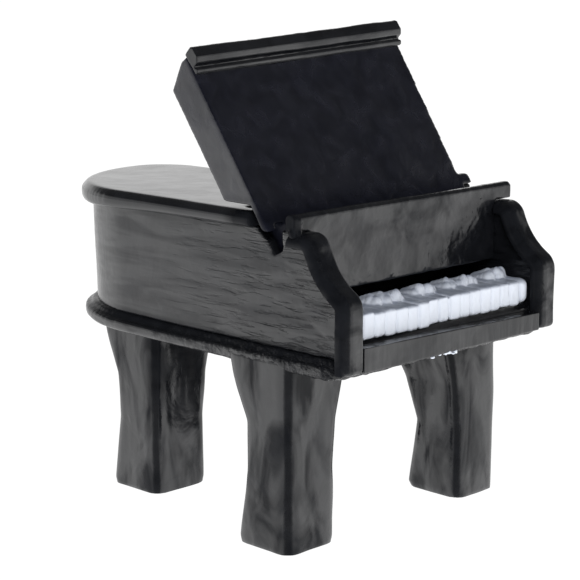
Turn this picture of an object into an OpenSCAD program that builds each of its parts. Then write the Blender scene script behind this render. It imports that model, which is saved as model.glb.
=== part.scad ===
// Miniature grand piano for a dolls' house, with an opening front lid.
// X runs from the bass side to the treble side, Y from the keys to the tail, Z up.
// The origin is on the floor, under the middle of the whole piano.

/* [Case] */
// Width across the outer faces of the two cheeks
case_w = 50.5; // [48:0.5:54]
// Length from the front of the cheeks to the tail of the fixed top
case_l = 73.8; // [72:0.2:78]
// Height of the case's underside above the floor
leg_h = 28.9; // [26:0.1:34]
// Thickness of the bottom board
bottom_t = 2.9; // [2:0.1:3]
// Height of the rim between the bottom board and the top board
rim_h = 18.3; // [17.8:0.1:19]
// Thickness of the rim, which is one bent strip
rim_t = 1.8; // [1.4:0.1:2.2]
// Thickness of the fixed top board
top_t = 2.2; // [1.8:0.1:2.6]
// How far the top board stands out past the rim all round
top_proud = 1.8; // [1.2:0.1:2]

/* [Keyboard] */
// Number of natural keys
naturals = 17; // [14:1:20]
// Height of the key fronts
key_h = 4.1; // [3:0.1:4.2]
// Visible length of the keys
key_l = 7.4; // [6.5:0.1:7.8]
// Thickness of the moulded edge of each cheek
cheek_band = 2.2; // [1.8:0.1:2.4]

/* [Lid] */
// How far the open lid leans back from upright, in degrees
lid_lean = 35.5; // [33:0.5:38]
// Thickness of the lid board
lid_t = 5.8; // [5:0.1:6]
// Length of the lid up its slope, from the hinge to the middle of its top edge
lid_l = 36.4; // [30:0.1:38]
// How far the lid's top edge climbs towards the treble side, in degrees
lid_slant = 3.1; // [0:0.1:4]
// Diameter of the hinge pin
pin_d = 1.2; // [1:0.1:1.4]

/* [Legs] */
// Width of a front leg at its waist
leg_w = 10.2; // [9:0.2:11]
// Diameter of the dowel at the top of each leg
dowel_d = 4; // [3:0.5:4]

/* [Hidden] */

BLACK = [0.07, 0.07, 0.08];
WHITE = [0.92, 0.94, 0.97];
STEEL = [0.62, 0.62, 0.64];
WOOD = [0.72, 0.56, 0.38];

$fn = 96;
LAP = 0.5;                           // how far a cutting or joining shape runs past a face
// The layers at the edges of the moulded boards, as [how far they are set in, their height].
LOWER_EDGE = [0.45, 0.5];
TOP_BOARD_EDGE = [0.8, 0.6];
BOTTOM_BOARD_EDGE = [1.2, 1];

// The case in plan. Two arcs go round the tail, and a hollow and a shoulder make the bentside.
bottom_inset = 0.2;                  // the bottom board's edge inside the top board's
half_w = case_w / 2 + 0.45;          // top board's straight sides
bass_r = 23;
treble_r = 8.7;
tail_x = bass_r - half_w;            // both tail arcs are centred on this X
treble_x = tail_x + treble_r;
hollow_r = 20;
shoulder_r = 10;
bend_r = hollow_r + shoulder_r;
flare = half_w - treble_x;
hollow_c = [treble_x + hollow_r, case_l - 11.8];
shoulder_c = [half_w - shoulder_r,
              hollow_c.y - sqrt(bend_r * bend_r - (bend_r - flare) * (bend_r - flare))];
corner_r = 4;                        // front corners of the bottom board

// Heights, and the rim.
rim_z = leg_h + bottom_t;
top_z = rim_z + rim_h;
rim_out = half_w - top_proud;        // outer faces of the rim's straight sides
rim_in = rim_out - rim_t;            // inner faces of the same

// The cheek's ogee in side view: two rounds of one radius with a hollow between them.
nose_r = 3;
dip_r = 12;
nose_low = [nose_r, rim_z + 7.7];
nose_high = [9.3, top_z - nose_r];
nose_gap = norm(nose_high - nose_low);
nose_dir = (nose_high - nose_low) / nose_gap;
dip_out = sqrt((nose_r + dip_r) * (nose_r + dip_r) - nose_gap * nose_gap / 4);
dip_c = (nose_low + nose_high) / 2 + dip_out * [-nose_dir.y, nose_dir.x];
cheek_z = leg_h + 1;                 // underside of the cheeks, level with the key slip
cheek_back = nose_high.x + nose_r;   // the cheeks' moulding ends here, under the cap
heel_r = 0.4 * cheek_band;
cheek_in = rim_in - 1;               // inner faces of the cheeks

// Nameboard and keys.
name_y = 10.4;
name_t = 1.4;
name_h = 9.8;
cap_y = name_y;
cap_h = 2.7;
cap_over = 1;                        // the cap runs past the treble cheek by this
cap_bevel = 0.5;
slip_h = 3.4;
bed_t = 1.6;
rail_h = 0.6;
key_y = 2.5;
key_z = rim_z + bed_t + rail_h;
key_gap = 0.3;                       // width of the scored line between two naturals
key_score = 0.6;                     // depth of that line
key_half = rim_in - 0.6;
key_shift = 0.5;                     // the strip of keys stands this far towards the treble
key_pitch = 2 * key_half / naturals;
sharp_w = 1.1;
sharp_h = 0.8;
sharp_l = 3.4;
OCTAVE = 7;                          // naturals in an octave
SHARP_STEPS = [0, 1, 3, 4, 5];       // naturals in an octave that have a sharp after them

// The lid turns on a pin through the rim. Its tongue goes down in front of the top board.
hinge_y = 14.7;
hinge_z = top_z - 5.2;
running_gap = 0.05;                  // radial clearance of the pin in the lid
pin_half = rim_in + 1.2;             // the pin's ends, inside the rim
lid_face = 2.6;                      // the lid's front face in front of the pin
lid_back = lid_t - lid_face;
lid_low_x = -half_w - 0.2;
lid_high_x = half_w - 4.7;           // treble edge at the hinge
lid_taper = 3;                       // that edge slopes outwards up the lid, in degrees
lid_foot = 8.6;                      // height of the lid board's level lower edge above the pin
flap_foot = 5;                       // the same for the flap that hangs outside the rim
web_foot = 5.9;                      // the same for the web between the flap and the tongue
heel_out = 3;                        // the same skirt stands out by this on the treble side,
heel_foot = 7.2;                     // between these heights above the pin
heel_top = 8.8;
flap_t = 1.2;
flap_gap = 0.1;
tongue_r = 2.2;
tongue_t = 4.6;
tongue_half = rim_in - 0.5;
top_slope = 2.4;                     // the lid's top falls by this much towards its back
notch_y = [14.3, 15.9];              // front and back of the notch's floor
notch_z = top_z - 3.9;
top_front = 19.8;                    // front end of the top board on the bass side
top_front_treble = 18.6;             // the same on the treble side
slot_back = 23.8;                    // front edge of the top board between them
belly_t = 3;

// Legs. Each level is [height, width beyond the waist, depth].
LEG_LEVELS = [[0, -0.2, 11.1], [0.8, 0.4, 11.8], [leg_h * 0.42, 0.3, 10.1], [leg_h * 0.68, 1.1, 11],
              [leg_h * 0.86, 2.3, 13.2], [leg_h, 3.2, 14.6]];
BASS_SWELL = -0.8;                   // added to the depth of the upper half of each leg
TREBLE_SWELL = 1.2;
TAIL_SWELL = -0.4;
LEG_FRONT_R = 2.2;                   // radius of a leg's two front corners
LEG_STEPS = 6;                       // facets in each corner's quarter round
LEG_BACK_R = 2;                      // radius of its two back corners
leg_front = 11.2;
BASS_LEG_X = -half_w;                // outer sides of the two front legs
bass_leg_w = leg_w + 0.6;
TREBLE_LEG_X = half_w - 0.6;
tail_leg_w = leg_w + 1.5;
tail_leg_pos = [-19.3, 48.9];
dowel_back = 5.4;                    // dowel's centre behind the front of its leg
dowel_l = 4;                         // how far a dowel goes down into its leg
dowel_in = 1.6;                      // how far it goes up into the bottom board

// Moves a piece from the front of the cheeks to the part's own origin.
module placed() {
  translate([0, -case_l / 2, 0]) children();
}

// Turns a side view, drawn as [Y, Z], into a piece that spans X.
module across(x0, x1) {
  translate([x0, 0, 0])
    rotate([90, 0, 90])
      linear_extrude(x1 - x0) children();
}

// Grand-piano outline from y = front to the tail, grown outwards by grow.
module plan(grow, front) {
  half = half_w + grow;
  bass_c = [tail_x, case_l - bass_r];
  treble_c = [tail_x, case_l - treble_r];
  translate([-half, front]) square([2 * half, shoulder_c.y - front]);
  difference() {
    polygon([[-half, shoulder_c.y - LAP], [shoulder_c.x, shoulder_c.y - LAP], shoulder_c, hollow_c,
             [treble_x + grow, hollow_c.y], [treble_x + grow, treble_c.y], treble_c, bass_c,
             [-half, bass_c.y]]);
    translate(hollow_c) circle(r = hollow_r - grow);
  }
  translate(shoulder_c) circle(r = shoulder_r + grow);
  translate(treble_c) circle(r = treble_r + grow);
  intersection() {
    translate(bass_c) circle(r = bass_r + grow);
    translate([-half, bass_c.y]) square(bass_r + grow);
  }
}

// A board in the shape of the plan, with its upper and lower edges set in as a moulding.
module moulded_board(z, t, grow, front, upper) {
  edge_layer(z, LOWER_EDGE, grow, front);
  translate([0, 0, z + LOWER_EDGE[1]])
    linear_extrude(t - LOWER_EDGE[1] - upper[1]) plan(grow, front);
  edge_layer(z + t - upper[1], upper, grow, front);
}

module edge_layer(z, edge, grow, front) {
  translate([0, 0, z])
    linear_extrude(edge[1]) plan(grow - edge[0], front + edge[0]);
}

// Side view of the case's front: the ogee with a straight front below, cut back by inset.
module ogee(inset, low) {
  difference() {
    polygon([[inset, low], [inset, nose_low.y], nose_low, dip_c, nose_high,
             [nose_high.x, top_z - inset], [cheek_back, top_z - inset], [cheek_back, low]]);
    translate(dip_c) circle(r = dip_r + inset);
  }
  translate(nose_low) circle(r = nose_r - inset);
  translate(nose_high) circle(r = nose_r - inset);
}

// Plan area that rounds the two front corners of the bottom board.
module rounded_front() {
  half = half_w - bottom_inset;
  translate([-half, cheek_band + corner_r]) square([2 * half, case_l]);
  translate([corner_r - half, cheek_band]) square([2 * (half - corner_r), case_l]);
  for (side = [-1, 1])
    translate([side * (half - corner_r), cheek_band + corner_r]) circle(r = corner_r);
}

module bottom_board() {
  color(BLACK) placed() difference() {
    intersection() {
      moulded_board(leg_h, bottom_t, -bottom_inset, cheek_band - LOWER_EDGE[0], BOTTOM_BOARD_EDGE);
      translate([0, 0, leg_h]) linear_extrude(bottom_t) rounded_front();
    }
    at_dowels() cylinder(d = dowel_d, h = 2 * dowel_in, center = true);
  }
}

// The rim: a bent strip whose two arms end behind the cheeks, with the lid's notch near the front.
module case_rim() {
  color(BLACK) placed() difference() {
    translate([0, 0, rim_z])
      linear_extrude(rim_h) difference() {
        plan(-top_proud, cheek_band);
        plan(-top_proud - rim_t, 0);
      }
    across(-half_w, half_w) difference() {
      translate([0, rim_z - LAP]) square([cheek_back, rim_h + 2 * LAP]);
      ogee(cheek_band, rim_z - LAP);
    }
    across(-half_w, half_w) notch();
    at_hinge() cylinder(d = pin_d, h = 2 * pin_half, center = true);
  }
}

// Side view of the notch: upright in front, with a slope behind up to the end of the top board.
module notch() {
  polygon([[notch_y[0], notch_z + 0.8], [notch_y[1], notch_z], [notch_y[1] + 1.2, notch_z + 1.8],
           [top_front - 0.4, top_z - 0.4], [top_front, top_z + LAP], [notch_y[0], top_z + LAP]]);
}

// Turns an upright piece on the origin to lie along the hinge's axis.
module at_hinge() {
  translate([0, hinge_y, hinge_z])
    rotate([0, 90, 0]) children();
}

// Cross rail under the front edge of the top board, between the rim's sides.
module belly_rail() {
  color(BLACK) placed()
    translate([-rim_in, slot_back, rim_z]) cube([2 * rim_in, belly_t, rim_h]);
}

// The fixed rear part of the top. The lid closes the space in front of it, between the rim's sides.
module top_board() {
  color(BLACK) placed() difference() {
    moulded_board(top_z, top_t, 0, top_front_treble, TOP_BOARD_EDGE);
    translate([-rim_in, 0, top_z - LAP]) cube([2 * rim_in, slot_back, top_t + 2 * LAP]);
    translate([-case_w, 0, top_z - LAP]) cube([case_w, top_front, top_t + 2 * LAP]);
  }
}

// The ogee moulding that covers the front edge of one side of the case, housed for the nameboard.
module cheek(x0) {
  x1 = x0 + case_w / 2 - cheek_in;
  color(BLACK) placed() {
    difference() {
      across(x0, x1) ogee(0, cheek_z + heel_r);
      across(x0 - LAP, x1 + LAP) ogee(cheek_band, cheek_z);
      across(x0 - LAP, x1 + LAP)
        translate([cheek_band, cheek_z]) square([cheek_back, rim_z - cheek_z + LAP]);
      translate([-rim_in, name_y, rim_z]) cube([2 * rim_in, cheek_back, rim_h + LAP]);
    }
    across(x0, x1) {
      translate([heel_r, cheek_z + heel_r]) circle(r = heel_r);
      translate([heel_r, cheek_z]) square([cheek_band - heel_r, 2 * heel_r]);
    }
  }
}

module bass_cheek() {
  cheek(-case_w / 2);
}

module treble_cheek() {
  cheek(cheek_in);
}

module nameboard() {
  color(BLACK) placed()
    translate([-rim_in, name_y, top_z - name_h]) cube([2 * rim_in, name_t, name_h]);
}

// Moulding along the top of the nameboard, which also covers the tops of the cheeks.
module nameboard_cap() {
  color(BLACK) placed() across(-case_w / 2, case_w / 2 + cap_over)
    polygon([[cap_y, top_z], [cap_y, top_z + cap_h - cap_bevel], [cap_y + cap_bevel, top_z + cap_h],
             [cheek_back - cap_bevel, top_z + cap_h], [cheek_back, top_z + cap_h - cap_bevel],
             [cheek_back, top_z]]);
}

module key_bed() {
  color(BLACK) placed()
    translate([-rim_in, cheek_band, rim_z]) cube([2 * rim_in, name_y - cheek_band, bed_t]);
}

module key_slip() {
  color(BLACK) placed()
    translate([-cheek_in, 0, cheek_z]) cube([2 * cheek_in, cheek_band, slip_h]);
}

// The dark strip that the keys rest on, set just behind their fronts.
module key_rail() {
  color(BLACK) placed()
    translate([key_shift - key_half, key_y + key_score, rim_z + bed_t])
      cube([2 * key_half, key_l - key_score, rail_h]);
}

// One strip, scored down its front and along its top into natural keys.
module natural_keys() {
  color(WHITE) placed() translate([key_shift, 0, 0]) difference() {
    translate([-key_half, key_y, key_z]) cube([2 * key_half, key_l, key_h]);
    for (k = [1:naturals - 1])
      translate([k * key_pitch - key_half - key_gap / 2, key_y - LAP, key_z - LAP]) {
        cube([key_gap, key_score + LAP, key_h + 2 * LAP]);
        translate([0, 0, key_h - key_score + LAP]) cube([key_gap, key_l + 2 * LAP, key_score + LAP]);
      }
  }
}

// True where a sharp stands between natural k and natural k + 1.
function has_sharp(k) = len([for (s = SHARP_STEPS) if (s == k % OCTAVE) s]) > 0;

module sharp_keys() {
  color(WHITE) placed() translate([key_shift, 0, 0])
    for (k = [0:naturals - 2])
      if (has_sharp(k))
        translate([(k + 1) * key_pitch - key_half - sharp_w / 2, key_y + key_l - sharp_l, key_z + key_h])
          cube([sharp_w, sharp_l, sharp_h]);
}

// Puts a piece drawn on an upright lid, with the hinge at the origin, in its open place.
module on_lid() {
  translate([0, hinge_y, hinge_z])
    rotate([-lid_lean, 0, 0]) children();
}

// Turns a piece drawn from the lid's top edge so that it climbs towards the treble side.
module on_slant() {
  translate([0, 0, lid_l]) rotate([0, -lid_slant, 0]) children();
}

// Distance up the lid, at depth d, of an edge that is level at height h above the pin.
function level_up(h, d) = (h + d * sin(lid_lean)) / cos(lid_lean);

// Side view of the lid from that level edge upwards, from its face back to depth d.
module lid_section(h, d, up) {
  polygon([[-lid_face, level_up(h, -lid_face)], [-lid_face, up], [d, up], [d, level_up(h, d)]]);
}

// Side view of the thin skirt at the lid's face, between two level edges.
module lid_skirt(low, high) {
  back = flap_t - lid_face;
  polygon([[-lid_face, level_up(low, -lid_face)], [-lid_face, level_up(high, -lid_face)],
           [back, level_up(high, back)], [back, level_up(low, back)]]);
}

module lid_panel() {
  tongue_back = tongue_t - lid_face;
  color(BLACK) placed() difference() {
    on_lid() {
      difference() {
        across(lid_low_x, -lid_low_x) lid_section(lid_foot, lid_back, 2 * lid_l);
        on_slant() across(2 * lid_low_x, -2 * lid_low_x)
          polygon([[-lid_t, 0], [1.4 - lid_face, 0], [lid_back, -top_slope], [lid_t, -2 * top_slope],
                   [lid_t, 2 * lid_l], [-lid_t, 2 * lid_l]]);
        translate([lid_high_x, -lid_t, 0])
          rotate([0, lid_taper, 0])
            translate([0, 0, -lid_l]) cube([case_w, 2 * lid_t, 3 * lid_l]);
      }
      across(lid_low_x, -rim_out - flap_gap) lid_skirt(flap_foot, lid_foot + LAP);
      across(-rim_out - flap_gap - LAP, -tongue_half) lid_skirt(web_foot, lid_foot + LAP);
      across(0, lid_high_x + heel_out) lid_skirt(heel_foot, heel_top);
      across(-tongue_half, tongue_half) {
        circle(r = tongue_r);
        polygon([[-tongue_r, 0], [-lid_face, tongue_r], [-lid_face, level_up(lid_foot, -lid_face) + LAP],
                 [tongue_back, level_up(lid_foot, tongue_back) + LAP], [tongue_back, tongue_r],
                 [tongue_r, 0]]);
      }
    }
    at_hinge() cylinder(d = pin_d + 2 * running_gap, h = 2 * half_w, center = true);
  }
}

// Moulding across the front of the lid's top edge: a deep band, a groove and a small bead.
module lid_lip() {
  band = 2;
  bead = 0.8;
  groove = 0.5;
  color(BLACK) placed() on_lid() on_slant()
    across(lid_low_x, lid_high_x + lid_l * tan(lid_taper))
      translate([-lid_face, 0])
        polygon([[0, -3.3], [-groove, -3.2], [-bead, -2.9], [-bead, -2.6], [-groove, -2.4],
                 [-groove, -2.1], [0.5 - band, -1.9], [-band, -1.2], [-band, 0.4], [0.4 - band, 0.8],
                 [0, 0.4]]);
}

// The pin is held in blind bores in the rim's two sides and the lid turns on it.
module hinge_pin() {
  color(STEEL) placed() at_hinge() cylinder(d = pin_d, h = 2 * pin_half, center = true);
}

// A leg's outline at one level: an arc at each corner, small in front and larger behind.
function leg_outline(width, swell, level) =
  let (
    w = width + level.y,
    d = level.z + (level.x > leg_h / 2 ? swell : 0),
    f = LEG_FRONT_R,
    b = LEG_BACK_R,
    corners = [[f, f, f, 180], [w - f, f, f, 270], [w - b, d - b, b, 0], [b, d - b, b, 90]]
  )
  [for (c = corners, k = [0:LEG_STEPS])
    let (angle = c[3] + 90 * k / LEG_STEPS) [c.x + c.z * cos(angle), c.y + c.z * sin(angle), level.x]];

// A leg with its flat front on y = 0, its outer side on x = 0 and its body towards +X. Its skin is
// drawn from one outline to the next, two triangles to each point.
module leg(width, swell) {
  ring = 4 * (LEG_STEPS + 1);
  last = len(LEG_LEVELS) - 1;
  difference() {
    polyhedron(
      points = [for (level = LEG_LEVELS) each leg_outline(width, swell, level)],
      faces = [
        [for (k = [0:ring - 1]) k],
        for (j = [0:last - 1], k = [0:ring - 1])
          let (a = j * ring + k, b = j * ring + (k + 1) % ring)
            each [[a, a + ring, b + ring], [a, b + ring, b]],
        [for (k = [ring - 1:-1:0]) last * ring + k]
      ]
    );
    translate([width / 2, dowel_back, leg_h - dowel_l]) cylinder(d = dowel_d, h = dowel_l + LAP);
  }
}

module bass_leg() {
  color(BLACK) placed() translate([BASS_LEG_X, leg_front, 0]) leg(bass_leg_w, BASS_SWELL);
}

module treble_leg() {
  color(BLACK) placed() translate([TREBLE_LEG_X, leg_front, 0])
    mirror([1, 0, 0]) leg(leg_w, TREBLE_SWELL);
}

module tail_leg() {
  color(BLACK) placed() translate(tail_leg_pos) leg(tail_leg_w, TAIL_SWELL);
}

// Places children at the middle of each leg's top, level with the underside of the case.
module at_dowels() {
  for (x = [BASS_LEG_X + bass_leg_w / 2, TREBLE_LEG_X - leg_w / 2])
    translate([x, leg_front + dowel_back, leg_h]) children();
  translate([tail_leg_pos.x + tail_leg_w / 2, tail_leg_pos.y + dowel_back, leg_h]) children();
}

module leg_dowels() {
  color(WOOD) placed() at_dowels()
    translate([0, 0, -dowel_l]) cylinder(d = dowel_d, h = dowel_l + dowel_in);
}

bottom_board();
case_rim();
belly_rail();
top_board();
bass_cheek();
treble_cheek();
nameboard();
nameboard_cap();
key_bed();
key_slip();
key_rail();
natural_keys();
sharp_keys();
lid_panel();
lid_lip();
hinge_pin();
bass_leg();
treble_leg();
tail_leg();
leg_dowels();
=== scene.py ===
# Miniature grand piano in hand-brushed gloss black paint, with white keys and an open lid.
# Lengths are in metres. MM turns the sizes below, which are millimetres, into metres.
import math

import bmesh
import bpy
import numpy as np
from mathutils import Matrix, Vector


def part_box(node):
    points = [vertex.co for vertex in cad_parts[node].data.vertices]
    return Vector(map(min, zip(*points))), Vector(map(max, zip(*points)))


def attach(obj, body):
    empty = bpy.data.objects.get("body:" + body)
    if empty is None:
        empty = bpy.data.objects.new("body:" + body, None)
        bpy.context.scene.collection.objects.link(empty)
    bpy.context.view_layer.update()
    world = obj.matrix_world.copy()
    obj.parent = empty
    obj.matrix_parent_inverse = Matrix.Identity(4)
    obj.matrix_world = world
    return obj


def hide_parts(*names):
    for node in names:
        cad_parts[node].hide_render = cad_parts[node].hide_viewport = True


MM = 0.001
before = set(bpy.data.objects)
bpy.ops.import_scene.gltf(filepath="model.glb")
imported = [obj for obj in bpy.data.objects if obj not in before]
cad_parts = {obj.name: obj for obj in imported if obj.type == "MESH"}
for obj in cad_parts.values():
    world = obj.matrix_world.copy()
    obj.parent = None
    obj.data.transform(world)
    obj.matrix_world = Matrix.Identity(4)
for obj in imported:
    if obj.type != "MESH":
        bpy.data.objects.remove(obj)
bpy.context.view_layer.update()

CASE = "case"
LID = "lid"
BLACK_SLOT = "black_gloss"
WHITE_SLOT = "key_white"


# ---- Noise for relief, worked out at every vertex of a mesh --------------------------------


def lattice(cell, seed):
    """A repeatable number from -1 to 1 for every whole-number cell."""
    n = cell[:, 0] * 374761393 + cell[:, 1] * 668265263 + cell[:, 2] * 1013904223 + seed * 974634777
    n = n & 0xFFFFFFFF
    n = ((n ^ (n >> 13)) * 1274126177) & 0xFFFFFFFF
    return ((n ^ (n >> 16)) & 0xFFFF) / 32767.5 - 1.0


def noise(points, seed):
    """Smooth noise from -1 to 1 with one bump for each unit of length."""
    base = np.floor(points)
    f = points - base
    f = f * f * (3 - 2 * f)
    base = base.astype(np.int64)
    total = np.zeros(len(points))
    for corner in np.ndindex(2, 2, 2):
        weight = np.prod(np.where(corner, f, 1 - f), axis=1)
        total += weight * lattice(base + corner, seed)
    return total


def rough(points, seed, octaves=3):
    """Noise with finer noise on top, each octave half the size and half the height."""
    return sum(noise(points * 2**k, seed + k) / 2**k for k in range(octaves))


# ---- Mesh work -------------------------------------------------------------------------------


def coordinates(mesh):
    co = np.zeros(len(mesh.vertices) * 3)
    mesh.vertices.foreach_get("co", co)
    return co.reshape(-1, 3)


def normals(mesh):
    no = np.zeros(len(mesh.vertices) * 3)
    mesh.vertices.foreach_get("normal", no)
    return no.reshape(-1, 3)


def set_coordinates(mesh, co):
    mesh.vertices.foreach_set("co", co.ravel())
    mesh.update()


def softened(mesh, voxel, passes):
    """A copy of a closed mesh in small even faces, with its edges rounded as by thick paint."""
    worker = bpy.data.objects.new("worker", mesh)
    bpy.context.scene.collection.objects.link(worker)
    remesh = worker.modifiers.new("even", "REMESH")
    remesh.mode = "VOXEL"
    remesh.voxel_size = voxel * MM * 1
    smooth = worker.modifiers.new("round", "SMOOTH")
    smooth.factor = 0.5
    smooth.iterations = passes
    graph = bpy.context.evaluated_depsgraph_get()
    result = bpy.data.meshes.new_from_object(worker.evaluated_get(graph), depsgraph=graph)
    bpy.data.objects.remove(worker)
    return result


def relief(mesh, height):
    """Moves each vertex along its normal by height(points in mm, normals), in mm."""
    co = coordinates(mesh)
    no = normals(mesh)
    set_coordinates(mesh, co + no * (height(co / MM, no) * MM)[:, None])


def piece(name, mesh, body, slot, material, *nodes):
    """Puts a finished mesh in the scene in place of the CAD nodes it stands for."""
    mesh.name = name
    mesh.materials.clear()
    mesh.materials.append(material)
    mesh.polygons.foreach_set("use_smooth", [True] * len(mesh.polygons))
    obj = bpy.data.objects.new(name, mesh)
    bpy.context.scene.collection.objects.link(obj)
    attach(obj, body)
    if nodes:
        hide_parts(*nodes)
    return obj


def node_mesh(node):
    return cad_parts[node].data.copy()


def joined(*meshes):
    """Several closed meshes as one mesh."""
    bm = bmesh.new()
    for mesh in meshes:
        bm.from_mesh(mesh)
    return from_bmesh(bm)


def from_bmesh(bm):
    bmesh.ops.recalc_face_normals(bm, faces=bm.faces)
    mesh = bpy.data.meshes.new("built")
    bm.to_mesh(mesh)
    bm.free()
    return mesh


# ---- Materials -------------------------------------------------------------------------------


class Nodes:
    """Short calls for building one material's node tree."""

    def __init__(self, name):
        self.material = bpy.data.materials.new(name)
        self.material.use_nodes = True
        self.tree = self.material.node_tree
        self.shader = self.tree.nodes["Principled BSDF"]
        self.position = self.add("ShaderNodeTexCoord").outputs["Object"]

    def add(self, kind, **settings):
        node = self.tree.nodes.new(kind)
        for key, value in settings.items():
            setattr(node, key, value)
        return node

    def link(self, source, target):
        self.tree.links.new(source, target)

    def stretched(self, per_mm):
        """Object position scaled so that one unit is one feature; per_mm is features per mm."""
        mapping = self.add("ShaderNodeMapping")
        mapping.inputs["Scale"].default_value = [k / MM for k in per_mm]
        self.link(self.position, mapping.inputs["Vector"])
        return mapping.outputs["Vector"]

    def noise(self, per_mm, detail=3.0, distortion=0.0):
        node = self.add("ShaderNodeTexNoise")
        node.inputs["Scale"].default_value = 1.0
        node.inputs["Detail"].default_value = detail
        node.inputs["Distortion"].default_value = distortion
        self.link(self.stretched(per_mm), node.inputs["Vector"])
        return node.outputs["Fac"]

    def ramp(self, source, low, high, first, last):
        """Maps low..high of a value to first..last, held at both ends."""
        node = self.add("ShaderNodeMapRange")
        for key, value in zip(("From Min", "From Max", "To Min", "To Max"), (low, high, first, last)):
            node.inputs[key].default_value = value
        self.link(source, node.inputs["Value"])
        return node.outputs["Result"]

    def mix_colour(self, factor, first, second):
        node = self.add("ShaderNodeMix", data_type="RGBA")
        self.link(factor, node.inputs["Factor"])
        node.inputs[6].default_value = (*first, 1)
        node.inputs[7].default_value = (*second, 1)
        return node.outputs[2]

    def times(self, first, second):
        node = self.add("ShaderNodeMath", operation="MULTIPLY")
        self.link(first, node.inputs[0])
        self.link(second, node.inputs[1])
        return node.outputs[0]

    def front_share(self):
        """Rises from 0 in the middle of the piano's length to 1 near its front."""
        split = self.add("ShaderNodeSeparateXYZ")
        self.link(self.position, split.inputs["Vector"])
        return self.ramp(split.outputs["Y"], 8 * MM, -22 * MM, 0, 1)

    def bump(self, height, depth, below=None):
        """Adds height, 0 to 1, as a surface depth in mm."""
        node = self.add("ShaderNodeBump")
        node.inputs["Strength"].default_value = 1.0
        node.inputs["Distance"].default_value = depth * MM
        self.link(height, node.inputs["Height"])
        if below is not None:
            self.link(below, node.inputs["Normal"])
        return node.outputs["Normal"]

    def paint(self, colour, roughness, normal):
        self.link(colour, self.shader.inputs["Base Color"])
        self.link(roughness, self.shader.inputs["Roughness"])
        self.link(normal, self.shader.inputs["Normal"])
        return self.material


NEAR_BLACK = (0.006, 0.0065, 0.008)
BLUE_BLACK = (0.006, 0.0065, 0.0105)
PAINT_IOR = 1.52
FULL_SHINE = 0.52                    # the shader's specular level where the paint shines most
STROKE_DEPTH = 0.11                  # of the sparse deeper lines, in mm


def black_paint(
    name,
    streaks,
    depth,
    blot=0.25,
    dents=0.12,
    gloss=0.16,
    tint=NEAR_BLACK,
    strokes=None,
    pits=0.0,
    patches=(0.06, 0.06, 0.10),
    dullest=0.34,
    dull_share=0.5,
    painted_shade=None,
):
    """Gloss black paint laid on by brush.

    streaks is how many brush lines there are per mm along X, Y and Z, and depth is their depth in
    mm. blot is how many slow bumps there are per mm, dents is their depth in mm, and gloss is the
    usual roughness. strokes adds sparse deeper lines, and pits small pits, both growing towards the
    front. patches is the scale of the broad patches that shine less, down to dullest, and there are
    more of them with a higher dull_share. The last argument is an axis and two places along it, in
    mm, for painted shade: the paint hardly shines at the first and shines fully at the second.
    """
    n = Nodes(name)
    fine = n.noise(streaks, detail=4.0)
    coarse = n.noise([k / 3 for k in streaks], detail=2.0)
    blots = n.noise((blot, blot, blot), detail=4.0, distortion=0.6)
    normal = n.bump(blots, dents)
    normal = n.bump(coarse, 2.2 * depth, normal)
    normal = n.bump(fine, depth, normal)
    if strokes is not None:
        lines = n.noise(strokes, detail=5.0, distortion=0.35)
        sparse = n.times(n.ramp(lines, 0.52, 0.68, 0, 1), n.front_share())
        normal = n.bump(sparse, -STROKE_DEPTH, normal)
    if pits:
        holes = n.noise((1.3, 1.3, 1.3), detail=5.0)
        normal = n.bump(n.times(n.ramp(holes, 0.42, 0.66, 0, 1), n.front_share()), pits, normal)
    colour = n.mix_colour(n.ramp(blots, 0.35, 0.7, 0, 1), tint, [1.6 * k for k in tint])
    roughness = n.ramp(blots, 0.3, 0.7, gloss * 0.7, gloss * 1.5)
    cloud = n.noise(patches, detail=3.0, distortion=0.8)
    shine = n.ramp(cloud, dull_share - 0.1, dull_share + 0.1, dullest, FULL_SHINE)
    # Painted shade: along one axis the shine falls to 0.15 of itself, standing in for shade and dark
    # reflections.
    if painted_shade is not None:
        axis, dark, bright = painted_shade
        split = n.add("ShaderNodeSeparateXYZ")
        n.link(n.position, split.inputs["Vector"])
        shine = n.times(shine, n.ramp(split.outputs[axis], dark * MM, bright * MM, 0.15, 1))
    n.link(shine, n.shader.inputs["Specular IOR Level"])
    n.shader.inputs["IOR"].default_value = PAINT_IOR
    return n.paint(colour, roughness, normal)


# The keys' white, and a grey-blue painted shade for their upward-facing tops.
KEY_WHITE = (0.68, 0.72, 0.80)
SHADED_TOP_WHITE = (0.27, 0.30, 0.37)


def white_paint():
    """White with a little blue, greyed by painted shade on the upward-facing tops of the keys."""
    n = Nodes("key_paint")
    soft = n.noise((0.9, 0.5, 0.9), detail=3.0)
    fine = n.noise((4.0, 1.2, 1.6), detail=4.0)
    normal = n.bump(soft, 0.10)
    normal = n.bump(fine, 0.02, normal)
    split = n.add("ShaderNodeSeparateXYZ")
    n.link(n.add("ShaderNodeNewGeometry").outputs["Normal"], split.inputs["Vector"])
    # Painted shade: the more a face points up, the more it is greyed, by an amount that varies at random.
    shaded_tops = n.times(n.ramp(split.outputs["Z"], 0.25, 0.9, 0, 1), n.ramp(soft, 0.25, 0.6, 0.6, 1))
    colour = n.mix_colour(shaded_tops, KEY_WHITE, SHADED_TOP_WHITE)
    roughness = n.ramp(fine, 0.3, 0.7, 0.32, 0.5)
    return n.paint(colour, roughness, normal)


def bare_wood():
    n = Nodes("bare_wood")
    grain = n.noise((3.0, 3.0, 0.15), detail=5.0, distortion=1.0)
    colour = n.mix_colour(grain, (0.40, 0.27, 0.15), (0.68, 0.51, 0.33))
    return n.paint(colour, n.ramp(grain, 0, 1, 0.6, 0.8), n.bump(grain, 0.03))


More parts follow.
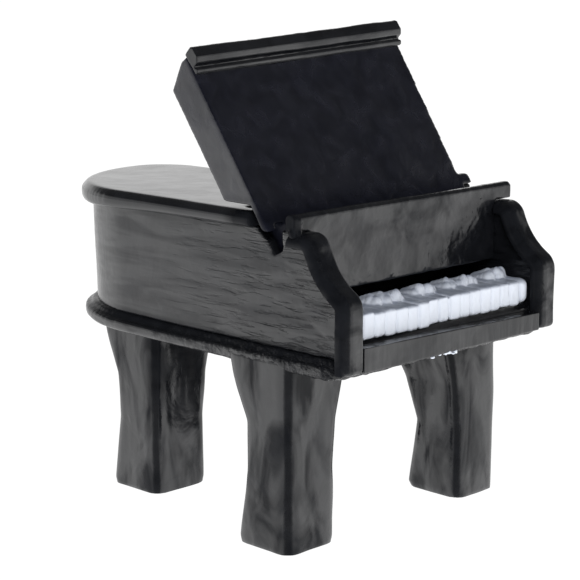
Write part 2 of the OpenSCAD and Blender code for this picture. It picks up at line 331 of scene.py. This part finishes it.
def pin_steel():
    n = Nodes("pin_steel")
    turned = n.noise((6.0, 0.8, 0.8), detail=3.0)
    n.shader.inputs["Metallic"].default_value = 1.0
    colour = n.mix_colour(turned, (0.45, 0.45, 0.47), (0.62, 0.62, 0.63))
    return n.paint(colour, n.ramp(turned, 0, 1, 0.25, 0.45), n.bump(turned, 0.005))


# Painted shade takes the shine off the rim's foot, where it meets the bottom board.
RIM_PAINT = black_paint("rim_paint", (0.07, 0.07, 1.8), 0.012, dents=0.10, strokes=(0.2, 0.2, 1.6),
                        patches=(0.06, 0.06, 0.50), dullest=0.34, painted_shade=("Z", 31.8, 33.0))
# Painted shade takes the shine off the upper part of the bottom board's edge, under the rim.
BOARD_PAINT = black_paint("board_paint", (0.1, 0.1, 1.2), 0.01, pits=0.14, patches=(0.15, 0.15, 0.4),
                          dullest=0.20, painted_shade=("Z", 31.2, 30.6))
# Painted shade takes the shine off the top board's front edge, under the lid's foot.
TOP_PAINT = black_paint("top_paint", (1.6, 0.06, 1.6), 0.003, dents=0.03, gloss=0.12,
                        painted_shade=("Y", -14.0, -11.5))
RAIL_PAINT = black_paint("rail_paint", (0.4, 0.4, 0.4), 0.03, blot=0.4)
# Painted shade takes the shine off the nameboard's bass end, by the hinge.
NAME_PAINT = black_paint("nameboard_paint", (0.7, 0.7, 0.45), 0.024, blot=0.5, dents=0.10,
                         patches=(0.12, 0.12, 0.12), dullest=0.18, painted_shade=("X", -25.0, -22.0))
SLIP_PAINT = black_paint("slip_paint", (2.2, 2.2, 0.3), 0.022)
LEG_PAINT = black_paint("leg_paint", (0.9, 0.9, 0.05), 0.006, dents=0.14, patches=(0.2, 0.2, 0.07),
                        dull_share=0.46, dullest=0.10)
# Painted shade takes the shine off the lid's foot.
LID_PAINT = black_paint("lid_paint", (0.30, 0.12, 0.12), 0.04, blot=0.3, dents=0.16, gloss=0.2,
                        tint=BLUE_BLACK, painted_shade=("Z", 52.0, 55.0))
LIP_PAINT = black_paint("lip_paint", (0.05, 1.2, 1.2), 0.012, dents=0.08)
KEY_PAINT = white_paint()
WOOD = bare_wood()
STEEL = pin_steel()


# ---- Case ------------------------------------------------------------------------------------

BOARD_VOXEL = 0.28                   # size of the faces of each skin of paint, in mm
RIM_VOXEL = 0.26
DETAIL_VOXEL = 0.18


def share(values, start, end):
    """Rises smoothly from 0 at start to 1 at end."""
    t = np.clip((values - start) / (end - start), 0, 1)
    return t * t * (3 - 2 * t)


def brushed(seed, along, height, waves=0.05):
    """A relief of brush lines, with along features per mm, over slow waves of the surface."""

    def amount(points, _):
        lines = rough(points * np.array(along), seed)
        slow = rough(points * 0.12, seed + 50, 2)
        return height * lines + waves * slow

    return amount


def warp(mesh, shift):
    """Moves each vertex by shift(points), both in mm: how the handmade piece is out of true."""
    co = coordinates(mesh)
    set_coordinates(mesh, co + shift(co / MM) * MM)


def columns(x, y, z):
    """Puts three columns of shifts side by side; a plain number fills its column."""
    rows = max(np.size(x), np.size(y), np.size(z))
    return np.stack([np.broadcast_to(c, rows) for c in (x, y, z)], axis=1)


SMOOTHING_LOSS = 0.12                # what a well rounded board loses on every side, in mm
TAIL_RISE = 0.45                     # how far the bottom board is risen at its tail, in mm
TAIL_THICKENING = 0.9                # how much thicker the top board is at its tail, in mm
RIM_LEAN = 0.4                       # how far the rim's foot leans in at the bass side of the tail
SLIP_TILT = 0.5                      # how far the key slip is out of level, in mm
CAP_BLOBS = 9
EASED_EDGE = 0.15                    # radius of the eased edges of the hidden pieces, in mm


def restored(mesh):
    """Puts back the thickness that a board loses in smoothing."""
    relief(mesh, lambda p, _: np.full(len(p), SMOOTHING_LOSS))


def bottom_board():
    mesh = softened(node_mesh("bottom_board"), BOARD_VOXEL, 26)

    def front_bumps(p, _):
        return 0.10 * rough(p * 0.9, 15) * share(p[:, 1], 0, -25)

    def risen_tail(p):
        return columns(0, 0, TAIL_RISE * share(p[:, 1], 0, 37))

    restored(mesh)
    relief(mesh, brushed(11, (0.1, 0.1, 0.8), 0.03, 0.08))
    relief(mesh, front_bumps)
    warp(mesh, risen_tail)
    piece("bottom_board_painted", mesh, CASE, BLACK_SLOT, BOARD_PAINT, "bottom_board")


def top_board():
    low, high = (np.array(c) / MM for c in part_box("top_board"))
    mesh = softened(node_mesh("top_board"), BOARD_VOXEL, 16)

    def thick_tail(p):
        return columns(0, 0, -TAIL_THICKENING * share(p[:, 2], high[2], low[2]) * share(p[:, 1], 0, 30))

    restored(mesh)
    relief(mesh, brushed(12, (0.1, 0.1, 0.5), 0.015, 0.05))
    warp(mesh, thick_tail)
    piece("top_board_painted", mesh, CASE, BLACK_SLOT, TOP_PAINT, "top_board")


def rim():
    low, high = (np.array(c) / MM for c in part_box("case_rim"))
    mesh = softened(node_mesh("case_rim"), RIM_VOXEL, 5)

    def leans_in(p):
        """The strip leans in towards its foot round the bass side of the tail."""
        lean = share(p[:, 2], high[2], low[2]) * share(p[:, 1], -5, 25) * share(p[:, 0], 5, -15)
        return columns(RIM_LEAN * lean, -RIM_LEAN / 2 * lean, 0)

    def strokes(p, _):
        """Deep brush strokes, which run in from the edge behind the cheek."""
        lines = share(rough(p * (0.22, 0.22, 1.5), 23), 0.0, 0.8)
        return -0.14 * lines * share(p[:, 1], -8, -31)

    warp(mesh, leans_in)
    relief(mesh, brushed(21, (0.09, 0.09, 0.9), 0.02, 0.06))
    relief(mesh, strokes)
    piece("rim_painted", mesh, CASE, BLACK_SLOT, RIM_PAINT, "case_rim")


BASS_SIDE_ROUND = 1.6                # how far each cheek's two front edges are rounded, in mm
TREBLE_SIDE_ROUND = 0.4


def rounded_sides(mesh):
    """Rounds the front edges along both sides of a cheek, which are sharp in the CAD."""
    bm = bmesh.new()
    bm.from_mesh(mesh)
    bmesh.ops.remove_doubles(bm, verts=bm.verts, dist=0.001 * MM)
    bmesh.ops.dissolve_limit(bm, angle_limit=math.radians(1), verts=bm.verts, edges=bm.edges)
    middle = sum(v.co.x for v in bm.verts) / len(bm.verts)

    def runs_along_front(edge):
        if len(edge.link_faces) != 2:
            return False
        side = [abs(face.normal.x) > 0.99 for face in edge.link_faces]
        front = [face.normal.y < -0.1 or face.normal.z > 0.5 for face in edge.link_faces]
        return (side[0] and front[1]) or (side[1] and front[0])

    for sign, radius in ((-1, BASS_SIDE_ROUND), (1, TREBLE_SIDE_ROUND)):
        bm.normal_update()
        chosen = [e for e in bm.edges if (e.verts[0].co.x - middle) * sign > 0 and runs_along_front(e)]
        bmesh.ops.bevel(bm, geom=chosen, offset=radius * MM, segments=5, profile=0.36, affect="EDGES")
    return from_bmesh(bm)


def cheeks():
    """Each moulding is rounded most on its bass side, and painted shade takes the shine off its face
    towards -X.
    """
    for node, seed in (("bass_cheek", 31), ("treble_cheek", 32)):
        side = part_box(node)[0][0] / MM
        # Painted shade takes the shine off the face of each cheek towards -X: the bass cheek's outer side
        # and the treble cheek's inner side.
        paint = black_paint(node + "_paint", (0.4, 0.4, 0.4), 0.03, blot=0.4, patches=(0.2, 0.2, 0.2),
                            dullest=0.10, dull_share=0.52, painted_shade=("X", side + 0.3, side + 1.3))
        mesh = softened(rounded_sides(node_mesh(node)), DETAIL_VOXEL, 6)
        relief(mesh, brushed(seed, (0.5, 0.15, 0.15), 0.05, 0.05))
        piece(node + "_painted", mesh, CASE, BLACK_SLOT, paint, node)


def nameboard():
    """The board and its cap under one skin of paint, which runs into blobs at the bass end."""
    low, high = (np.array(c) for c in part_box("nameboard_cap"))
    rng = np.random.default_rng(42)
    blobs = bmesh.new()
    for _ in range(CAP_BLOBS):
        place = np.array((rng.uniform(0.2, 1.6), rng.uniform(0.2, 1.0), rng.uniform(-0.8, 2.2))) * MM
        add_lump(blobs, low + place, rng.uniform(0.5, 0.95, 3) * MM)
    board = joined(node_mesh("nameboard"), node_mesh("nameboard_cap"), from_bmesh(blobs))
    mesh = softened(board, DETAIL_VOXEL, 7)
    relief(mesh, brushed(41, (0.5, 0.5, 0.4), 0.05, 0.05))
    piece("nameboard_painted", mesh, CASE, BLACK_SLOT, NAME_PAINT, "nameboard", "nameboard_cap")


def key_slip():
    low, high = (np.array(c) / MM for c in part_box("key_slip"))
    mesh = softened(node_mesh("key_slip"), DETAIL_VOXEL, 6)

    def tilt(p):
        return columns(0, 0, SLIP_TILT * share(p[:, 2], low[2], high[2]) * (0.1 - p[:, 0] / high[0]))

    warp(mesh, tilt)
    relief(mesh, brushed(51, (0.8, 0.8, 0.1), 0.03, 0.06))
    piece("key_slip_painted", mesh, CASE, BLACK_SLOT, SLIP_PAINT, "key_slip")


def hidden_parts():
    """Pieces mostly out of sight keep their CAD shape, with eased edges and their own finish."""
    for node, material in (
        ("key_bed", SLIP_PAINT),
        ("key_rail", SLIP_PAINT),
        ("belly_rail", RAIL_PAINT),
        ("leg_dowels", WOOD),
        ("hinge_pin", STEEL),
    ):
        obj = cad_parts[node]
        obj.data.materials.clear()
        obj.data.materials.append(material)
        bevel = obj.modifiers.new("eased", "BEVEL")
        bevel.width = EASED_EDGE * MM
        bevel.segments = 3
        bevel.limit_method = "ANGLE"


# ---- Keys ------------------------------------------------------------------------------------

KEY_VOXEL = 0.14
DROP_VOXEL = 0.08
NATURALS = 17
WIDE_GAPS = (7, 8)                   # these naturals stand a little apart from the next one
STRAY_DROPS = 16


def add_block(bm, low, high, edge):
    """A box from low to high whose edges are rounded with radius edge."""
    verts = bmesh.ops.create_cube(bm, size=1.0)["verts"]
    for v in verts:
        v.co = Vector([(low[k] + high[k]) / 2 + v.co[k] * (high[k] - low[k]) for k in range(3)])
    edges = list({e for v in verts for e in v.link_edges})
    bmesh.ops.bevel(bm, geom=edges, offset=edge, segments=4, profile=0.5, affect="EDGES")


def add_lump(bm, centre, radii):
    """An egg of paint."""
    ball = bmesh.ops.create_icosphere(bm, subdivisions=3, radius=1.0)["verts"]
    for v in ball:
        v.co = Vector([centre[k] + v.co[k] * radii[k] for k in range(3)])


def add_naturals(bm, rng):
    """A row of uneven teeth on one core, each a little out of line."""
    low, high = (np.array(c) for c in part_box("natural_keys"))
    pitch = (high[0] - low[0]) / NATURALS
    for k in range(NATURALS):
        gap = rng.uniform(0.0, 0.04) * MM
        wide = 0.16 * MM if k in WIDE_GAPS else 0.0
        front = rng.uniform(-0.1, 0.3) * MM
        drop = rng.uniform(-0.1, 0.3) * MM
        edge = (1.2 if k == NATURALS - 1 else rng.uniform(0.35, 0.6)) * MM
        add_block(
            bm,
            (low[0] + k * pitch + gap, low[1] + front, low[2] + rng.uniform(-0.15, 0.15) * MM),
            (low[0] + (k + 1) * pitch - gap - wide, high[1], high[2] - drop),
            edge,
        )
    core = 0.45 * MM
    add_block(bm, low + np.array((core, 2 * core, core)), high - np.array((2 * core, 0, 1.3 * core)), core)


def islands(mesh):
    """The lowest and highest corner of each separate solid in a mesh, from the bass upwards."""
    bm = bmesh.new()
    bm.from_mesh(mesh)
    bmesh.ops.remove_doubles(bm, verts=bm.verts, dist=0.001 * MM)
    left = set(bm.verts)
    boxes = []
    while left:
        group = {left.pop()}
        edge = set(group)
        while edge:
            edge = {e.other_vert(v) for v in edge for e in v.link_edges} - group
            group |= edge
        left -= group
        co = np.array([v.co for v in group])
        boxes.append((co.min(axis=0), co.max(axis=0)))
    bm.free()
    return sorted(boxes, key=lambda box: tuple(box[0]))


LUMPS_PER_SHARP = 6


def add_ridge(bm, x, front, base, wide, tall):
    """A lump of paint that is steep in front and dies away behind."""
    for step in range(4):
        share_left = 1 - 0.2 * step
        centre = (x + 0.1 * step * MM, front + 0.8 * step * MM, base)
        add_lump(bm, centre, (wide * (1 + 0.12 * step), 0.9 * MM, tall * share_left + 0.2 * MM))


def add_sharps(bm, rng):
    """Several lumps of paint to each sharp, which run into the next sharp's."""
    for low, high in islands(node_mesh("sharp_keys")):
        for _ in range(LUMPS_PER_SHARP):
            x = (low[0] + high[0]) / 2 + rng.uniform(-0.8, 0.8) * MM
            wide = rng.uniform(0.75, 1.15) * MM
            tall = rng.uniform(0.7, 1.7) * MM
            front = low[1] + rng.uniform(0.3, 1.6) * MM
            add_ridge(bm, x, front, low[2] - 0.2 * MM, wide, tall)


def keys():
    """The two rows of keys under one skin of white paint, which runs them together."""
    rng = np.random.default_rng(5)
    bm = bmesh.new()
    add_naturals(bm, rng)
    add_sharps(bm, rng)
    mesh = softened(from_bmesh(bm), KEY_VOXEL, 5)
    relief(mesh, brushed(61, (0.6, 0.3, 0.4), 0.10, 0.06))
    piece("keys_painted", mesh, CASE, WHITE_SLOT, KEY_PAINT, "natural_keys", "sharp_keys")


def stray_paint():
    """A little white key paint that ran to the lower edge of the key slip."""
    low, _ = (np.array(c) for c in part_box("key_slip"))
    rng = np.random.default_rng(14)
    bm = bmesh.new()
    for _ in range(STRAY_DROPS):
        place = np.array((rng.normal(-1.4, 1.9), rng.uniform(0.0, 0.35), rng.uniform(-0.25, 0.15))) * MM
        radii = rng.uniform(0.16, 0.38, 3) * (1.3, 0.8, 0.8) * MM
        add_lump(bm, np.array((0, low[1], low[2])) + place, radii)
    mesh = softened(from_bmesh(bm), DROP_VOXEL, 3)
    relief(mesh, brushed(63, (1.5, 1.5, 1.5), 0.06, 0.0))
    piece("stray_key_paint", mesh, CASE, WHITE_SLOT, KEY_PAINT)


# ---- Lid -------------------------------------------------------------------------------------

LIP_VOXEL = 0.12


def lid():
    mesh = softened(node_mesh("lid_panel"), BOARD_VOXEL, 5)
    relief(mesh, brushed(71, (0.25, 0.12, 0.12), 0.05, 0.08))
    piece("lid_painted", mesh, LID, BLACK_SLOT, LID_PAINT, "lid_panel")
    mesh = softened(node_mesh("lid_lip"), LIP_VOXEL, 5)
    relief(mesh, brushed(72, (0.15, 0.3, 0.3), 0.06, 0.06))
    piece("lid_lip_painted", mesh, LID, BLACK_SLOT, LIP_PAINT, "lid_lip")


# ---- Legs ------------------------------------------------------------------------------------

LEG_RISE = 1.4                       # how far the top of a leg goes up into the board, in mm
FOOT_LIFT = 0.4                      # how far smoothing lifts the edge of a foot, in mm
FOOT_CLEARANCE = 0.02                # height of the feet above the floor, in mm


def legs():
    """The smoothing lifts the rim of each foot, so that is put back on the floor."""
    for node, seed in (("bass_leg", 81), ("treble_leg", 82), ("tail_leg", 83)):
        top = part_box(node)[1][2] / MM

        def ends(p, top=top):
            """Lets the top into the board above and brings the foot's edge down to the floor."""
            up = LEG_RISE * share(p[:, 2], top - 2.5, top)
            return columns(0, 0, up - FOOT_LIFT * share(p[:, 2], 2 * FOOT_LIFT, 0.3))

        def on_floor(p):
            return columns(0, 0, np.maximum(0, FOOT_CLEARANCE - p[:, 2]))

        mesh = softened(node_mesh(node), BOARD_VOXEL, 9)
        warp(mesh, ends)
        relief(mesh, brushed(seed, (0.30, 0.30, 0.06), 0.06, 0.12))
        warp(mesh, on_floor)
        piece(node + "_painted", mesh, CASE, BLACK_SLOT, LEG_PAINT, node)


# ---- Stage, light and camera -----------------------------------------------------------------

VIEW_AZIMUTH = math.radians(45.35)
VIEW_ELEVATION = math.radians(11.37)
FLOOR_LIGHT = 1.6                    # brightness of the white floor in the piano's reflections
SKY_LIGHT = 1.0                      # brightness of the surroundings just above the horizon
HIGH_LIGHT = 0.10                    # brightness of the surroundings high up
BEHIND_LIGHT = 0.55                  # share of the floor's light left behind the piano
DIM_BEHIND = (math.radians(25), math.radians(70))   # dimmest and undimmed, turned from straight behind
CAMERA_LIGHT = 0.10                  # share of all light left around the camera
DARK_WEDGE = (math.radians(16), math.radians(44))   # darkest and undimmed, turned from the camera
SHOWN_WHITE = 1.02                   # brightness of the background itself, as the camera sees it
FLOOR_HALF = 8.0                     # half the side of the floor
LAMP_PLACE = (-0.35, -0.40, 0.45)
LAMP_SIZE = 0.25
LAMP_POWER = 2.0
LAMP_AIM = (0, 0, 0.03)
CAMERA_DISTANCE = 0.3
CAMERA_AIM = (-0.0064, -0.00705, 0.0363)
CAMERA_LENS = 114.27                 # in mm, as is the sensor
CAMERA_SENSOR = 36.0


def tent_light(tree, direction):
    """Strength of the light from a direction: a white sweep that is dark high up and by the camera."""

    def add(kind, **settings):
        node = tree.nodes.new(kind)
        for key, value in settings.items():
            setattr(node, key, value)
        return node

    def step(source, start, end, first, last):
        node = add("ShaderNodeMapRange", interpolation_type="SMOOTHSTEP")
        for key, value in zip(("From Min", "From Max", "To Min", "To Max"), (start, end, first, last)):
            node.inputs[key].default_value = value
        tree.links.new(source, node.inputs["Value"])
        return node.outputs["Result"]

    def math_node(operation, first, second):
        node = add("ShaderNodeMath", operation=operation)
        for socket, value in zip(node.inputs, (first, second)):
            if isinstance(value, float):
                socket.default_value = value
            else:
                tree.links.new(value, socket)
        return node.outputs[0]

    split = add("ShaderNodeSeparateXYZ")
    tree.links.new(direction, split.inputs["Vector"])
    above = step(split.outputs["Z"], -0.03, 0.05, FLOOR_LIGHT, SKY_LIGHT)
    high = step(split.outputs["Z"], 0.24, 0.50, 1.0, HIGH_LIGHT)
    flat = add("ShaderNodeVectorMath", operation="MULTIPLY")
    flat.inputs[1].default_value = (1, 1, 0)
    tree.links.new(direction, flat.inputs[0])
    unit = add("ShaderNodeVectorMath", operation="NORMALIZE")
    tree.links.new(flat.outputs[0], unit.inputs[0])
    facing = add("ShaderNodeVectorMath", operation="DOT_PRODUCT")
    facing.inputs[1].default_value = (-math.sin(VIEW_AZIMUTH), -math.cos(VIEW_AZIMUTH), 0)
    tree.links.new(unit.outputs[0], facing.inputs[0])
    turn = facing.outputs["Value"]
    wedge = step(turn, math.cos(DARK_WEDGE[1]), math.cos(DARK_WEDGE[0]), 1.0, CAMERA_LIGHT)
    behind = step(turn, -math.cos(DIM_BEHIND[1]), -math.cos(DIM_BEHIND[0]), 1.0, BEHIND_LIGHT)
    low = step(split.outputs["Z"], -0.03, 0.03, 1.0, 0.0)
    floor_behind = math_node("MAXIMUM", behind, math_node("SUBTRACT", 1.0, low))
    path = add("ShaderNodeLightPath")
    soft_wedge = math_node("MAXIMUM", wedge, path.outputs["Is Diffuse Ray"])
    around = math_node("MULTIPLY", soft_wedge, floor_behind)
    strength = math_node("MULTIPLY", math_node("MULTIPLY", above, high), around)
    shown = add("ShaderNodeMix")
    tree.links.new(path.outputs["Is Camera Ray"], shown.inputs["Factor"])
    tree.links.new(strength, shown.inputs[2])
    shown.inputs[3].default_value = SHOWN_WHITE
    return shown.outputs[0]


def white_sweep():
    """A plain white floor that gives its own light."""
    bm = bmesh.new()
    signs = ((-1, -1), (1, -1), (1, 1), (-1, 1))
    corners = [bm.verts.new((x * FLOOR_HALF, y * FLOOR_HALF, 0)) for x, y in signs]
    bm.faces.new(corners)
    floor = bpy.data.objects.new("floor", from_bmesh(bm))
    bpy.context.scene.collection.objects.link(floor)
    material = bpy.data.materials.new("floor_white")
    material.use_nodes = True
    tree = material.node_tree
    shader = tree.nodes["Principled BSDF"]
    shader.inputs["Base Color"].default_value = (0.10, 0.10, 0.10, 1)
    shader.inputs["Roughness"].default_value = 0.9
    shader.inputs["Specular IOR Level"].default_value = 0.0
    shader.inputs["Emission Color"].default_value = (1, 1, 1, 1)
    geometry = tree.nodes.new("ShaderNodeNewGeometry")
    away = tree.nodes.new("ShaderNodeVectorMath")
    away.operation = "SCALE"
    away.inputs["Scale"].default_value = -1.0
    tree.links.new(geometry.outputs["Incoming"], away.inputs[0])
    tree.links.new(tent_light(tree, away.outputs[0]), shader.inputs["Emission Strength"])
    floor.data.materials.append(material)


def tent():
    """The same light in the surroundings."""
    world = bpy.data.worlds.new("tent")
    bpy.context.scene.world = world
    world.use_nodes = True
    tree = world.node_tree
    background = tree.nodes["Background"]
    background.inputs["Color"].default_value = (1, 1, 1, 1)
    direction = tree.nodes.new("ShaderNodeTexCoord").outputs["Generated"]
    tree.links.new(tent_light(tree, direction), background.inputs["Strength"])


def lamp(name, place, size, power, aim):
    """An area lamp that lights the piano but isn't mirrored in its paint."""
    light = bpy.data.lights.new(name, "AREA")
    light.size = size
    light.energy = power
    obj = bpy.data.objects.new(name, light)
    obj.location = place
    obj.rotation_euler = (Vector(aim) - Vector(place)).to_track_quat("-Z", "Y").to_euler()
    obj.visible_glossy = False
    bpy.context.scene.collection.objects.link(obj)


def camera():
    """Looks from the front on the bass side, a little from above, through a long lens."""
    forward = Vector((
        math.sin(VIEW_AZIMUTH) * math.cos(VIEW_ELEVATION),
        math.cos(VIEW_AZIMUTH) * math.cos(VIEW_ELEVATION),
        -math.sin(VIEW_ELEVATION),
    ))
    data = bpy.data.cameras.new("camera")
    data.sensor_width = CAMERA_SENSOR
    data.lens = CAMERA_LENS
    data.clip_start = 0.01
    data.clip_end = 50.0
    obj = bpy.data.objects.new("camera", data)
    obj.location = Vector(CAMERA_AIM) - forward * CAMERA_DISTANCE
    obj.rotation_euler = forward.to_track_quat("-Z", "Y").to_euler()
    bpy.context.scene.collection.objects.link(obj)
    bpy.context.scene.camera = obj


bottom_board()
top_board()
rim()
cheeks()
nameboard()
key_slip()
keys()
stray_paint()
lid()
legs()
hidden_parts()
white_sweep()
tent()
lamp("front_left", LAMP_PLACE, LAMP_SIZE, LAMP_POWER, LAMP_AIM)
camera()
bpy.context.scene.view_settings.view_transform = "Standard"
